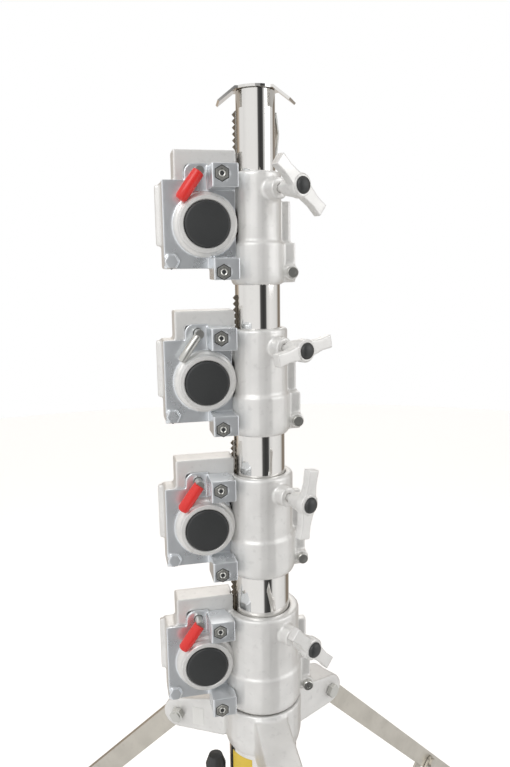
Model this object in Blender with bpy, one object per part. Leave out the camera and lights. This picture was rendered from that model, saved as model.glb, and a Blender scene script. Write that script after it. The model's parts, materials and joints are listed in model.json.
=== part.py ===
"""Crank-up stand with four rack-driven risers, standing closed on three spread legs.

Metres, +Z up. The pieces are modelled about the column's axis, with the floor at z = 0, and
the stand's empty then carries them so that the world origin is the centre of the footprint.
-Y is the front, where the gear covers face. +X is the side of the clamping ears.
Section 1 is the innermost tube, at the top. Each gearbox stands on the next tube out.
"""

import math

import bmesh
import bpy
from mathutils import Matrix, Vector

MM = 0.001
GAP = 0.3 * MM                    # between pieces that touch
MERGE = 0.002 * MM                # points closer than this are one point

# Telescoping tubes
SECTIONS = 4
TUBE_1_RADIUS = 20.0 * MM         # innermost tube
TUBE_STEP = 4.0 * MM              # growth of the radius from tube to tube
TUBE_WALL = 1.8 * MM
COLUMN_STEP = 8.0 * MM             # from riser 4 to the column
COLUMN_RADIUS = TUBE_1_RADIUS + TUBE_STEP * (SECTIONS - 1) + COLUMN_STEP
COLUMN_WALL = 3.0 * MM
TUBE_END_STEP = 12.0 * MM         # each inner tube ends this much above the next one out
TRAVEL = 600.0 * MM               # of each riser
SECTION_PITCH = 159.0 * MM        # from gearbox to gearbox, closed
TUBE_SIDES = 28
PLUG_HEIGHT = 14.0 * MM
PLUG_LIP = 5.6 * MM

# Rack and drive gear
MODULE = 2.0 * MM
GEAR_TEETH = 34
ADDENDUM = 1.2 * MM
DEDENDUM = 1.6 * MM
RACK_PITCH_HEIGHT = 2.1 * MM      # of the pitch line above the tube
RACK_NEAR = 2.0 * MM              # the rack lies between these two distances from the middle plane
RACK_FAR = 6.5 * MM
SLOT_MARGIN = 1.0 * MM            # beside a rack, in the slot that it passes through
RACK_TAIL = 36.0 * MM             # rack below the gear's axis when fully raised
GEAR_WIDTH = 18.0 * MM
PITCH = math.pi * MODULE
GEAR_RADIUS = MODULE * GEAR_TEETH / 2
SHAFT_RADIUS = 8.0 * MM
HEX_DRIVE = 10.0 * MM             # across flats, for the crank

# Collar castings, heights measured from the gear's axis
COLLAR_TOP = 53.0 * MM
SOCKET_TOP = -17.0 * MM           # the outer tube ends here
COLUMN_TOP = -25.0 * MM           # the column ends lower, clear of the gear
COLLAR_BOTTOM = -61.0 * MM
SOCKET_WALLS = (4.4 * MM, 6.0 * MM, 7.2 * MM, 5.6 * MM)
COLLAR_NECKING = 2.6 * MM         # upper barrel smaller than the socket barrel
BORE_CLEARANCE = 0.6 * MM

# Gear case, measured from the gear's axis
CASE_LEFT = 42.5 * MM
CASE_RIGHT = 33.5 * MM
CASE_LOW = -43.5 * MM
CASE_HIGH = 43.5 * MM
GUARD_LEFT = 30.0 * MM
GUARD_HIGH = 73.0 * MM
CASE_BACK = 17.0 * MM
CHAMBER_DEPTH = 10.0 * MM         # half the gear chamber's width
COVER_THICKNESS = 4.0 * MM
FLANGE_REACH = 5.0 * MM           # rear flange past the case's left side
CAP_RADIUS = 22.8 * MM
BOSS_RADIUS = CAP_RADIUS + 5.2 * MM
BOSS_BASE_RADIUS = CAP_RADIUS + 9.2 * MM
CAP_FRONT = 30.6 * MM             # in front of the middle plane
LUG_FRONT = 41.0 * MM
LUG_WIDTH = 26.5 * MM
LUG_LEFT = 3.5 * MM               # from the gear's axis towards the tube
LUG_A_LOW, LUG_A_HIGH = 34.0 * MM, 57.0 * MM
LUG_B_LOW, LUG_B_HIGH = -54.5 * MM, -33.0 * MM
NUT_A = (13.5 * MM, 46.8 * MM)    # x from the gear's axis, z
NUT_B = (13.5 * MM, -46.8 * MM)
NUT_C = (-35.2 * MM, -36.0 * MM)
NUT_FLATS = 13.0 * MM
NUT_HEIGHT = 3.2 * MM
STUD_RADIUS = 4.0 * MM

# Pawl lever
PAWL_PIVOT = (-6.5 * MM, BOSS_RADIUS + 22.5 * MM)
PAWL_SHAFT = 4.5 * MM
PAWL_WELL = 13.5 * MM             # the cover's lobe reaches this far left of the pivot
LOBE_RADIUS = 9.0 * MM
LEVER_LENGTH = 33.0 * MM
LEVER_RADIUS = 3.6 * MM
LEVER_ANGLE = math.radians(234)   # from +X, in the plane of the cover
LEVER_FRONT = 26.0 * MM

# Tube lock and clamping ears
LOCK_AZIMUTH = math.radians(27)   # from -Y towards +X
LOCK_HEIGHT = 34.3 * MM
LOCK_REACH = 43.5 * MM            # handle's front face from the collar's barrel
LOCK_BOSS_RADIUS = 11.0 * MM
LOCK_THREAD = 4.0 * MM
HANDLE_SPAN = 73.0 * MM
HANDLE_TURNS = (-39.0, 11.0, 79.0, -46.0)   # degrees, as each handle is left standing
EAR_REACH = 11.0 * MM             # clamping ears past the socket barrel
EAR_BOLT_HEIGHT = -48.6 * MM
EAR_BOLT_OUT = 5.5 * MM           # bolt's axis past the socket barrel
SLIT = 2.5 * MM

# Head
HEAD_ABOVE_GEAR = 134.0 * MM
HEAD_THICKNESS = 2.5 * MM
WING_AZIMUTHS = (-95.0, 62.0, 180.0)
WING_LENGTH = 21.0 * MM
WING_WIDTH = 26.0 * MM
WING_DROOP = math.radians(40)
SPIGOT_RADIUS = 14.4 * MM
SOCKET_LENGTH = 80.0 * MM

# Leg hub, legs and braces
COLUMN_FOOT = 90.0 * MM
PIVOT_HEIGHT = 840.0 * MM
PIVOT_RADIUS = 101.0 * MM
PIVOT_BELOW_GEAR = 96.0 * MM
HUB_WALL = 5.6 * MM
HUB_RADIUS = COLUMN_RADIUS + HUB_WALL
HUB_HEIGHT = 47.0 * MM
ARM_WIDTH = 38.0 * MM
ARM_HEIGHT = 40.0 * MM
ARM_END = 15.0 * MM
LEG_ANGLE = math.radians(45)      # below the horizontal
LEG_HEIGHT = 25.0 * MM
LEG_THICKNESS = 12.0 * MM
LEG_AZIMUTHS = (0.0, 120.0, 240.0)
PIVOT_BOLT = 5.0 * MM
BRACE_LENGTH = 360.0 * MM         # also its pivot's distance down the leg
BRACE_WIDTH = 18.0 * MM
BRACE_THICKNESS = 3.5 * MM
SPREADER_WALL = 7.0 * MM
SPREADER_HEIGHT = 52.0 * MM
SPREADER_LOCK_AZIMUTH = math.radians(60)

# Feet
FOOT_RADIUS = 20.0 * MM
FOOT_HEIGHT = 18.0 * MM
LEG_END_HEIGHT = 44.0 * MM        # middle of the leg's lower end above the floor
STEM_RADIUS = 6.0 * MM

# Crank, kept on the column
CRANK_AZIMUTH = math.radians(-100)
CRANK_OFF_COLUMN = 17.0 * MM
CRANK_BELOW_PIVOT = 44.0 * MM
CRANK_TOP = PIVOT_HEIGHT - CRANK_BELOW_PIVOT
CRANK_ARM = 180.0 * MM
CRANK_SHAFT = 7.0 * MM
GRIP_RADIUS = 12.0 * MM
GRIP_LENGTH = 95.0 * MM

COLOURS = {                       # colour, metallic, roughness
    "chrome": ((0.80, 0.80, 0.80), 1.0, 0.06),
    "cast": ((0.72, 0.72, 0.70), 0.8, 0.42),
    "machined": ((0.66, 0.68, 0.70), 0.9, 0.3),
    "steel": ((0.60, 0.60, 0.58), 1.0, 0.3),
    "black": ((0.03, 0.03, 0.03), 0.0, 0.45),
    "rubber": ((0.04, 0.04, 0.04), 0.0, 0.8),
}


def tube_radius(section):
    """Outer radius of riser 1 to 4; section 5 is the column."""
    return COLUMN_RADIUS if section > SECTIONS else TUBE_1_RADIUS + TUBE_STEP * (section - 1)


def tube_wall(section):
    return COLUMN_WALL if section > SECTIONS else TUBE_WALL


def rack_side(section):
    """Racks lie behind and in front of the middle plane by turns, so that they pass each other."""
    return 1 if section % 2 else -1


def gear_height(section):
    return PIVOT_HEIGHT + PIVOT_BELOW_GEAR + SECTION_PITCH * (SECTIONS - section)


def gear_axis_x(section):
    return -(tube_radius(section) + RACK_PITCH_HEIGHT + GEAR_RADIUS)


def socket_top(section):
    """Where the outer tube ends in a collar."""
    return COLUMN_TOP if section == SECTIONS else SOCKET_TOP


def barrel_radius(section):
    """Outer radius of a collar's socket barrel."""
    return tube_radius(section + 1) + SOCKET_WALLS[section - 1]


def radial(azimuth, distance, height=0.0):
    """A point at an azimuth from -Y towards +X."""
    return Vector((distance * math.sin(azimuth), -distance * math.cos(azimuth), height))


def material(kind):
    if kind not in bpy.data.materials:
        colour, metallic, roughness = COLOURS[kind]
        made = bpy.data.materials.new(kind)
        made.use_nodes = True
        shader = made.node_tree.nodes["Principled BSDF"]
        shader.inputs["Base Color"].default_value = (*colour, 1)
        shader.inputs["Metallic"].default_value = metallic
        shader.inputs["Roughness"].default_value = roughness
    return bpy.data.materials[kind]


def solid(name, mesh_maker, kind="cast", helper=False):
    """An object from a bmesh. A helper is a shape that another object joins or cuts."""
    mesh = bpy.data.meshes.new(name)
    bmesh.ops.recalc_face_normals(mesh_maker, faces=mesh_maker.faces[:])
    mesh_maker.to_mesh(mesh)
    mesh_maker.free()
    mesh.materials.append(material(kind))
    made = bpy.data.objects.new(name, mesh)
    bpy.context.scene.collection.objects.link(made)
    if helper:
        made.hide_render = True
        made.display_type = "WIRE"
    else:
        mesh.shade_smooth()
        mesh.set_sharp_from_angle(angle=math.radians(32))
    return made


def prism(outline, low, high, axis="Z"):
    """Extrudes an outline. Axis Z takes (x, y) points; axis Y takes (x, z) points."""
    made = bmesh.new()
    if axis == "Z":
        points = [Vector((a, b, low)) for a, b in outline]
        travel = Vector((0, 0, high - low))
    else:
        points = [Vector((a, low, b)) for a, b in outline]
        travel = Vector((0, high - low, 0))
    face = made.faces.new([made.verts.new(p) for p in points])
    sweep = bmesh.ops.extrude_face_region(made, geom=[face])
    moved = [v for v in sweep["geom"] if isinstance(v, bmesh.types.BMVert)]
    bmesh.ops.translate(made, vec=travel, verts=moved)
    return made


def block(x, y, z):
    """A box between pairs of limits."""
    return prism([(x[0], y[0]), (x[1], y[0]), (x[1], y[1]), (x[0], y[1])], z[0], z[1])


def arc(radius, start, end, steps, centre=(0.0, 0.0)):
    """Points on an arc, angles in radians from +X."""
    return [
        (
            centre[0] + radius * math.cos(start + (end - start) * k / steps),
            centre[1] + radius * math.sin(start + (end - start) * k / steps),
        )
        for k in range(steps + 1)
    ]


def circle(radius, sides, centre=(0.0, 0.0), turn=0.0):
    return arc(radius, turn, turn + 2 * math.pi, sides, centre)[:-1]


def turned(profile, sides):
    """Turns an outline of (radius, z) points about the Z axis. It closes on itself or on the axis."""
    made = bmesh.new()
    edges = []
    points = [made.verts.new((r, 0, z)) for r, z in profile]
    for k, point in enumerate(points):
        after = points[(k + 1) % len(points)]
        if point.co.x or after.co.x:
            edges.append(made.edges.new((point, after)))
    bmesh.ops.spin(
        made, geom=points + edges, cent=(0, 0, 0), axis=(0, 0, 1),
        angle=2 * math.pi, steps=sides, use_merge=True,
    )
    bmesh.ops.remove_doubles(made, verts=made.verts[:], dist=1e-7)
    bmesh.ops.dissolve_degenerate(made, edges=made.edges[:], dist=1e-7)
    return made


def moved(made, matrix):
    bmesh.ops.transform(made, matrix=matrix, verts=made.verts[:])
    return made


def pointing(azimuth, origin=(0, 0, 0)):
    """Carries +Z to the horizontal direction of an azimuth, and +X to the horizontal across it."""
    outward = radial(azimuth, 1.0)
    across = Vector((math.cos(azimuth), math.sin(azimuth), 0))
    up = outward.cross(across)
    frame = Matrix((across, up, outward)).transposed().to_4x4()
    return Matrix.Translation(origin) @ frame


def boolean(target, tool, operation):
    modifier = target.modifiers.new(tool.name, "BOOLEAN")
    modifier.operation = operation
    modifier.solver = "EXACT"
    modifier.object = tool


def join(target, made):
    boolean(target, solid(target.name + "_add", made, helper=True), "UNION")


def cut(target, made):
    boolean(target, solid(target.name + "_cut", made, helper=True), "DIFFERENCE")


def clean(mesh):
    """Merges the slivers that Booleans leave, and dissolves needless points on flat faces."""
    made = bmesh.new()
    made.from_mesh(mesh)
    bmesh.ops.remove_doubles(made, verts=made.verts[:], dist=MERGE)
    bmesh.ops.dissolve_degenerate(made, edges=made.edges[:], dist=MERGE)
    bmesh.ops.triangulate(made, faces=made.faces[:])
    straight = math.radians(0.05)
    bmesh.ops.dissolve_limit(made, angle_limit=straight, verts=made.verts[:], edges=made.edges[:])
    bmesh.ops.triangulate(made, faces=made.faces[:])
    made.to_mesh(mesh)
    made.free()


def bake(target):
    """Applies an object's Booleans and removes their tools."""
    graph = bpy.context.evaluated_depsgraph_get()
    mesh = bpy.data.meshes.new_from_object(target.evaluated_get(graph))
    clean(mesh)
    tools = [m.object for m in target.modifiers if m.type == "BOOLEAN"]
    target.modifiers.clear()
    old = target.data
    target.data = mesh
    bpy.data.meshes.remove(old)
    for tool in tools:
        bpy.data.objects.remove(tool)
    mesh.name = target.name
    mesh.shade_smooth()
    mesh.set_sharp_from_angle(angle=math.radians(32))
    return target


def copies(first, names, places):
    """Places the first object, and copies of it that share its mesh."""
    for k, (name, place) in enumerate(zip(names, places)):
        made = first if k == 0 else first.copy()
        made.name = name
        if k:
            bpy.context.scene.collection.objects.link(made)
        made.matrix_world = place


# Tubes and racks

def tube_top(section):
    """A riser's tube ends in the collar above it; tube 1 ends under the head."""
    if section == 1:
        return gear_height(1) + HEAD_ABOVE_GEAR - HEAD_THICKNESS - GAP
    return gear_height(section - 1) + SOCKET_TOP


def tube_foot(section):
    return COLUMN_FOOT + PLUG_HEIGHT + TUBE_END_STEP * (SECTIONS + 1 - section)


def make_tube(section):
    """A round tube, slotted lengthwise where the rack of the next tube in passes."""
    outer = tube_radius(section)
    inner = outer - tube_wall(section)
    low, high = tube_foot(section), tube_top(section)
    if section == 1:
        profile = [(inner, low), (outer, low), (outer, high), (inner, high)]
        tube = solid("riser_tube_1", turned(profile, TUBE_SIDES), "chrome")
        guide = pointing(math.radians(-50), (0, 0, gear_height(1) + 109.0 * MM))
        cut(tube, moved(prism(circle(2.0 * MM, 10), 0, outer * 1.2), guide))
        latch = pointing(math.radians(16), (0, 0, gear_height(1) + 122.0 * MM))
        cut(tube, moved(prism(circle(5.0 * MM, 16), 0, outer * 1.2), latch))
        return bake(tube)
    side = rack_side(section - 1)
    near, far = RACK_NEAR - SLOT_MARGIN, RACK_FAR + SLOT_MARGIN
    outline = slotted_outline(outer, inner, near, far, side)
    return solid(f"riser_tube_{section}", prism(outline, low, high), "chrome")


def slotted_outline(outer, inner, near, far, side):
    """A ring with a slot at -X between two distances from the middle plane, on one side of it."""
    def ring(radius):
        begin = math.pi + math.asin(near / radius) * -side
        finish = math.pi + math.asin(far / radius) * -side
        around = 2 * math.pi - abs(finish - begin)
        return arc(radius, begin, begin + around * side, TUBE_SIDES)

    return ring(outer) + ring(inner)[::-1]


def rack_end(section):
    """Racks end just under the head or just under the collar above."""
    if section == 1:
        return tube_top(1) - 8.0 * MM
    return gear_height(section - 1) + COLLAR_BOTTOM - 1.5 * MM


def make_rack(section):
    """Pointed teeth along -X, a valley level with the gear's axis. The back follows the round tube."""
    radius = tube_radius(section)
    axis = gear_height(section)
    pitch_line = radius + RACK_PITCH_HEIGHT
    tip, root = pitch_line + ADDENDUM, pitch_line - DEDENDUM
    low = axis - TRAVEL - RACK_TAIL
    count = int((rack_end(section) - low) / PITCH)
    first = math.floor((low - axis) / PITCH)
    bottom = axis + first * PITCH
    teeth = []
    for k in range(count):
        teeth += [(-root, bottom + k * PITCH), (-tip, bottom + (k + 0.5) * PITCH)]
    top = bottom + count * PITCH
    side = rack_side(section)
    made = bmesh.new()
    rings = []
    for offset in (RACK_NEAR, RACK_FAR):
        back = math.sqrt((radius + GAP) ** 2 - offset**2)
        outline = [(-back, bottom), *teeth, (-root, top), (-back, top)]
        rings.append([made.verts.new((x, side * offset, z)) for x, z in outline])
        made.faces.new(rings[-1])
    for k in range(len(rings[0])):
        after = (k + 1) % len(rings[0])
        made.faces.new((rings[0][k], rings[0][after], rings[1][after], rings[1][k]))
    return solid(f"rack_{section}", made, "steel")


# Gearbox pieces that are the same in every section, made about the gear's axis

def gear_outline():
    """Pointed teeth about the Y axis, one of them pointing along +X."""
    outline = []
    for k in range(2 * GEAR_TEETH):
        radius = GEAR_RADIUS - DEDENDUM if k % 2 else GEAR_RADIUS + ADDENDUM
        angle = math.pi * k / GEAR_TEETH
        outline.append((radius * math.cos(angle), radius * math.sin(angle)))
    return outline


def make_drive_gear():
    """Gear, shaft and the crank's hexagon at the rear, all on one axis."""
    gear = solid("drive_gear", prism(gear_outline(), -GEAR_WIDTH / 2, GEAR_WIDTH / 2, "Y"), "steel")
    front = CHAMBER_DEPTH + COVER_THICKNESS + 6.0 * MM
    join(gear, prism(circle(SHAFT_RADIUS, 14), -front, CASE_BACK + 2.0 * MM, "Y"))
    hexagon = circle(HEX_DRIVE / math.sqrt(3), 6)
    join(gear, prism(hexagon, CASE_BACK - 1.0 * MM, CASE_BACK + 18.0 * MM, "Y"))
    return bake(gear)


def cover_outline():
    """The plate's rectangle with a lobe round the pawl's pivot."""
    left, right = -CASE_LEFT, CASE_RIGHT
    x, z = PAWL_PIVOT
    corner = (x - PAWL_WELL + LOBE_RADIUS, z)
    lobe = arc(LOBE_RADIUS, math.pi, math.pi / 2, 6, corner)
    return [
        (left, CASE_LOW), (right, CASE_LOW), (right, CASE_HIGH),
        (LUG_LEFT + 1.0 * MM, CASE_HIGH), (LUG_LEFT + 1.0 * MM, z + LOBE_RADIUS),
        *lobe[::-1], (x - PAWL_WELL, CASE_HIGH), (left, CASE_HIGH),
    ]


def make_cover(section):
    """Front cover with the bearing boss, the two lugs, and the three nuts that hold it, joined on."""
    back = -CHAMBER_DEPTH - GAP
    front = -CHAMBER_DEPTH - COVER_THICKNESS
    cover = solid("gear_cover", prism(cover_outline(), front, back, "Y"), "machined")
    join(cover, prism(circle(BOSS_BASE_RADIUS, 24), front - 6.0 * MM, front + 1.0 * MM, "Y"))
    join(cover, prism(circle(BOSS_RADIUS, 24), -CAP_FRONT + 2.5 * MM, front + 2.0 * MM, "Y"))
    right = LUG_LEFT + LUG_WIDTH
    for low, high in ((LUG_A_LOW, LUG_A_HIGH), (LUG_B_LOW, LUG_B_HIGH)):
        lug = [(LUG_LEFT, low), (right, low), (right, high), (LUG_LEFT, high)]
        join(cover, prism(lug, -LUG_FRONT, back, "Y"))
    pocket_floor = -LUG_FRONT + 3.5 * MM
    for centre in (NUT_A, NUT_B):
        shape = circle(NUT_FLATS / math.sqrt(3) + 1.0 * MM, 6, centre)
        cut(cover, prism(shape, -LUG_FRONT - 1.0 * MM, pocket_floor, "Y"))
    for centre, seat in ((NUT_A, pocket_floor), (NUT_B, pocket_floor), (NUT_C, front)):
        nut = circle(NUT_FLATS / math.sqrt(3), 6, centre)
        join(cover, prism(nut, seat - NUT_HEIGHT, seat + 1.0 * MM, "Y"))
    cut(cover, prism(circle(CAP_RADIUS + GAP, 24), -LUG_FRONT, front - 4.0 * MM, "Y"))
    cut(cover, prism(circle(SHAFT_RADIUS + GAP, 14), -LUG_FRONT, 0, "Y"))
    cut(cover, prism(circle(PAWL_SHAFT + GAP, 14, PAWL_PIVOT), -LUG_FRONT, 0, "Y"))
    barrel = circle(barrel_radius(section) + GAP, TUBE_SIDES, (-gear_axis_x(section), 0))
    cut(cover, prism(barrel, COLLAR_BOTTOM - 5 * MM, COLLAR_TOP + 5 * MM))
    bake(cover)
    cover.name = f"gear_cover_{section}"
    cover.location = (gear_axis_x(section), 0, gear_height(section))


def make_cap():
    """Domed dust cap over the gear's bearing."""
    rim = CHAMBER_DEPTH + COVER_THICKNESS + 4.0 * MM + GAP
    depth = CAP_FRONT - rim
    profile = [
        (0, 3.0 * MM), (CAP_RADIUS - 3.0 * MM, 3.0 * MM), (CAP_RADIUS - 3.0 * MM, 0),
        (CAP_RADIUS, 0), (CAP_RADIUS, depth - 1.5 * MM), (CAP_RADIUS - 1.5 * MM, depth),
        (0, depth + 0.5 * MM),
    ]
    turn = Matrix.Translation((0, -rim, 0)) @ Matrix.Rotation(math.pi / 2, 4, "X")
    return solid("dust_cap", moved(turned(profile, 24), turn), "black")


def make_pawl():
    """Lever outside the cover, its shaft, and the pawl above the gear inside."""
    x, z = PAWL_PIVOT
    front = -LEVER_FRONT - LEVER_RADIUS
    pawl = solid("pawl_lever", prism(circle(PAWL_SHAFT, 14, PAWL_PIVOT), front, 8.0 * MM, "Y"), "steel")
    inner = [
        (x - 4.0 * MM, z), (x - 2.0 * MM, z - 11.0 * MM), (x + 2.0 * MM, z - 13.2 * MM), (x + 4.0 * MM, z),
    ]
    join(pawl, prism(inner, -7.0 * MM, 7.0 * MM, "Y"))
    along = Matrix.Translation((x, -LEVER_FRONT, z)) @ Matrix.Rotation(-LEVER_ANGLE, 4, "Y")
    bar = moved(prism(circle(LEVER_RADIUS, 12), 0, LEVER_LENGTH), Matrix.Rotation(math.pi / 2, 4, "Y"))
    join(pawl, moved(bar, along))
    return bake(pawl)


def make_handle():
    """Two-winged handle on its screw. The screw runs along -Z towards the tube."""
    half, waist, tip = HANDLE_SPAN / 2, 6.0 * MM, 7.0 * MM
    hub = 12.0 * MM
    side = [(half, -tip), (half, tip), (half * 0.62, waist)]
    shape = side + arc(hub, math.radians(40), math.radians(140), 6) + [(-half * 0.62, waist), (-half, tip)]
    shape += [(-half, -tip), (-half * 0.62, -waist)]
    shape += arc(hub, math.radians(220), math.radians(320), 6) + [(half * 0.62, -waist)]
    handle = solid("lock_handle", prism(shape, -9.0 * MM, 0), "cast")
    cone = [(0, -25.0 * MM), (8.0 * MM, -25.0 * MM), (11.5 * MM, -8.0 * MM), (0, -8.0 * MM)]
    join(handle, turned(cone, 20))
    return handle


def make_handles():
    """Each handle's screw has its own length, since its tube has its own size."""
    for section in range(1, SECTIONS + 1):
        barrel = barrel_radius(section) - COLLAR_NECKING
        reach = barrel + LOCK_REACH
        handle = make_handle()
        handle.name = f"lock_handle_{section}"
        end = reach - tube_radius(section) - 1.0 * MM
        join(handle, prism(circle(LOCK_THREAD, 12), -end, -20.0 * MM))
        bake(handle)
        place = pointing(LOCK_AZIMUTH, radial(LOCK_AZIMUTH, reach, gear_height(section) + LOCK_HEIGHT))
        handle.matrix_world = place @ Matrix.Rotation(math.radians(HANDLE_TURNS[section - 1]), 4, "Z")


# Collar castings

def collar_profile(section):
    """Outer shape of the barrel, turned about the tube's axis."""
    lower = barrel_radius(section)
    upper = lower - COLLAR_NECKING
    return [
        (0, COLLAR_BOTTOM), (lower - 3.0 * MM, COLLAR_BOTTOM), (lower - 0.8 * MM, COLLAR_BOTTOM + 4.0 * MM),
        (lower, COLLAR_BOTTOM + 9.0 * MM), (lower, SOCKET_TOP - 1.5 * MM), (upper, SOCKET_TOP + 1.0 * MM),
        (upper, COLLAR_TOP - 2.0 * MM), (upper - 2.0 * MM, COLLAR_TOP), (0, COLLAR_TOP),
    ]


def case_outline(axis):
    """The gear case with its step up to the guard, reaching into the barrel."""
    return [
        (axis - CASE_LEFT, CASE_LOW), (0, CASE_LOW), (0, COLLAR_TOP - 3.0 * MM),
        (axis + CASE_RIGHT, COLLAR_TOP - 3.0 * MM), (axis + CASE_RIGHT, GUARD_HIGH),
        (axis - GUARD_LEFT, GUARD_HIGH), (axis - GUARD_LEFT, CASE_HIGH), (axis - CASE_LEFT, CASE_HIGH),
    ]


def make_collar(section):
    """Barrel, gear case, lock boss and clamping ears in one casting."""
    inner, outer = tube_radius(section), tube_radius(section + 1)
    barrel = barrel_radius(section)
    axis = gear_axis_x(section)
    collar = solid(f"collar_{section}", turned(collar_profile(section), TUBE_SIDES), "cast")
    join(collar, prism(case_outline(axis), -CHAMBER_DEPTH, CASE_BACK, "Y"))
    rear = CASE_BACK - 5.0 * MM
    flange = (axis - CASE_LEFT - FLANGE_REACH, axis)
    join(collar, block(flange, (rear, CASE_BACK + 1.0 * MM), (-20 * MM, 41 * MM)))
    join(collar, prism(circle(17.0 * MM, 16, (axis, 0)), CASE_BACK - 1.0 * MM, CASE_BACK + 8.0 * MM, "Y"))
    boss = pointing(LOCK_AZIMUTH, (0, 0, LOCK_HEIGHT))
    reach = barrel - COLLAR_NECKING + 12.0 * MM
    join(collar, moved(prism(circle(LOCK_BOSS_RADIUS, 12), inner + 1.5 * MM, reach), boss))
    ears = (COLLAR_BOTTOM + 2 * MM, SOCKET_TOP - 1 * MM)
    join(collar, block((outer, barrel + EAR_REACH), (-9 * MM, 13 * MM), ears))
    rib = (SOCKET_TOP - 3 * MM, 25.0 * MM)
    join(collar, block((inner + 2 * MM, barrel + 9 * MM), (2 * MM, 13 * MM), rib))
    ear_x = barrel + EAR_BOLT_OUT
    join(collar, prism(circle(8.0 * MM, 16, (ear_x, EAR_BOLT_HEIGHT)), -14.0 * MM, 0, "Y"))

    seat = socket_top(section)
    cut(collar, prism(circle(inner + BORE_CLEARANCE, TUBE_SIDES), seat - 5 * MM, COLLAR_TOP + 5 * MM))
    cut(collar, prism(circle(outer + GAP, TUBE_SIDES), COLLAR_BOTTOM - 5 * MM, seat + GAP))
    side = rack_side(section)
    keyway = sorted((side * (RACK_NEAR - SLOT_MARGIN), side * (RACK_FAR + SLOT_MARGIN)))
    depth = inner + RACK_PITCH_HEIGHT + ADDENDUM + 0.8 * MM
    cut(collar, block((-depth, 0), keyway, (COLLAR_BOTTOM - 5 * MM, GUARD_HIGH + 5 * MM)))
    chamber = circle(GEAR_RADIUS + ADDENDUM + 1.0 * MM, 28, (axis, 0))
    cut(collar, prism(chamber, -CHAMBER_DEPTH - 1.0 * MM, CHAMBER_DEPTH, "Y"))
    cut(collar, prism(circle(SHAFT_RADIUS + GAP, 14, (axis, 0)), 0, CASE_BACK + 20.0 * MM, "Y"))
    x, z = axis + PAWL_PIVOT[0], PAWL_PIVOT[1]
    well = (x - PAWL_WELL + 1.5 * MM, x + 12 * MM)
    cut(collar, block(well, (-CHAMBER_DEPTH - 1.0 * MM, CHAMBER_DEPTH), (30 * MM, z + 7 * MM)))
    cut(collar, moved(prism(circle(LOCK_THREAD + GAP, 12), inner - 2 * MM, reach + 5 * MM), boss))
    cut(collar, prism(circle(STUD_RADIUS, 10, (ear_x, EAR_BOLT_HEIGHT)), -20.0 * MM, 20.0 * MM, "Y"))
    slit = (-SLIT / 2 + 2 * MM, SLIT / 2 + 2 * MM)
    cut(collar, block((inner, barrel + 2 * EAR_REACH), slit, (COLLAR_BOTTOM - 5 * MM, SOCKET_TOP - 6 * MM)))
    # The exact solver leaves slits between the facets of the long bores.
    for modifier in collar.modifiers:
        modifier.solver = "MANIFOLD"
    bake(collar)
    collar.location.z = gear_height(section)


def make_ear_bolt(section):
    """Hexagon-headed bolt that closes the clamping ears."""
    ear_x = barrel_radius(section) + EAR_BOLT_OUT
    centre = (ear_x, EAR_BOLT_HEIGHT)
    head = prism(circle(STUD_RADIUS + 1.5 * MM, 12, centre), -19.0 * MM, -14.0 * MM - GAP, "Y")
    bolt = solid(f"ear_bolt_{section}", head, "steel")
    join(bolt, prism(circle(STUD_RADIUS - GAP, 10, centre), -16.0 * MM, 14.0 * MM, "Y"))
    across = NUT_FLATS / math.sqrt(3)
    join(bolt, prism(circle(across * 0.8, 6, centre), 13.0 * MM + GAP, 19.0 * MM, "Y"))
    bake(bolt).location.z = gear_height(section)


# Head

def make_head():
    """Plate on the top tube with three drooping wings, and the spigot's sleeve below it."""
    top = gear_height(1) + HEAD_ABOVE_GEAR
    radius = tube_radius(1) + 3.0 * MM
    head = solid("head_plate", prism(circle(radius, 28), top - HEAD_THICKNESS, top), "steel")
    for azimuth in WING_AZIMUTHS:
        half = WING_WIDTH / 2
        reach, drop = WING_LENGTH * math.cos(WING_DROOP), WING_LENGTH * math.sin(WING_DROOP)
        start = radius - 7.0 * MM
        side = [
            (start, 0), (radius - 1 * MM, 0), (radius + reach, -drop),
            (radius + reach - 1.6 * MM, -drop - 1.9 * MM), (radius - 1.9 * MM, -HEAD_THICKNESS),
            (start, -HEAD_THICKNESS),
        ]
        wing = prism(side, -half, half, "Y")
        # The outline's X runs outward and its Z up, so it is carried onto the wing's own direction.
        join(head, moved(wing, Matrix.Translation((0, 0, top)) @ outward(azimuth)))
    cut(head, prism(circle(SPIGOT_RADIUS, 28), top - 20 * MM, top + 10 * MM))
    return bake(head)


def make_spigot_sleeve():
    top = gear_height(1) + HEAD_ABOVE_GEAR - HEAD_THICKNESS - GAP
    outer = tube_radius(1) - TUBE_WALL - GAP
    low = top - SOCKET_LENGTH
    profile = [(SPIGOT_RADIUS, low), (outer, low), (outer, top), (SPIGOT_RADIUS, top)]
    return solid("spigot_sleeve", turned(profile, 28), "steel")


def make_spigot_spring():
    """Bowed leaf spring on the right of the top tube, which holds a spigot in."""
    top, length = gear_height(1) + 112.0 * MM, 46.0 * MM
    outer = tube_radius(1) + GAP
    bow = [
        (outer, 0), (outer + 1.2 * MM, 0), (outer + 4.0 * MM, -length * 0.45), (outer + 1.2 * MM, -length),
        (outer, -length), (outer, -length + 4 * MM), (outer + 2.6 * MM, -length * 0.45), (outer, -4 * MM),
    ]
    spring = prism(bow, -5.0 * MM, 5.0 * MM, "Y")
    place = Matrix.Translation((0, 0, top)) @ Matrix.Rotation(math.radians(12), 4, "Z")
    return solid("spigot_spring", moved(spring, place), "steel")


# Column, hub, legs and spreader

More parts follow.
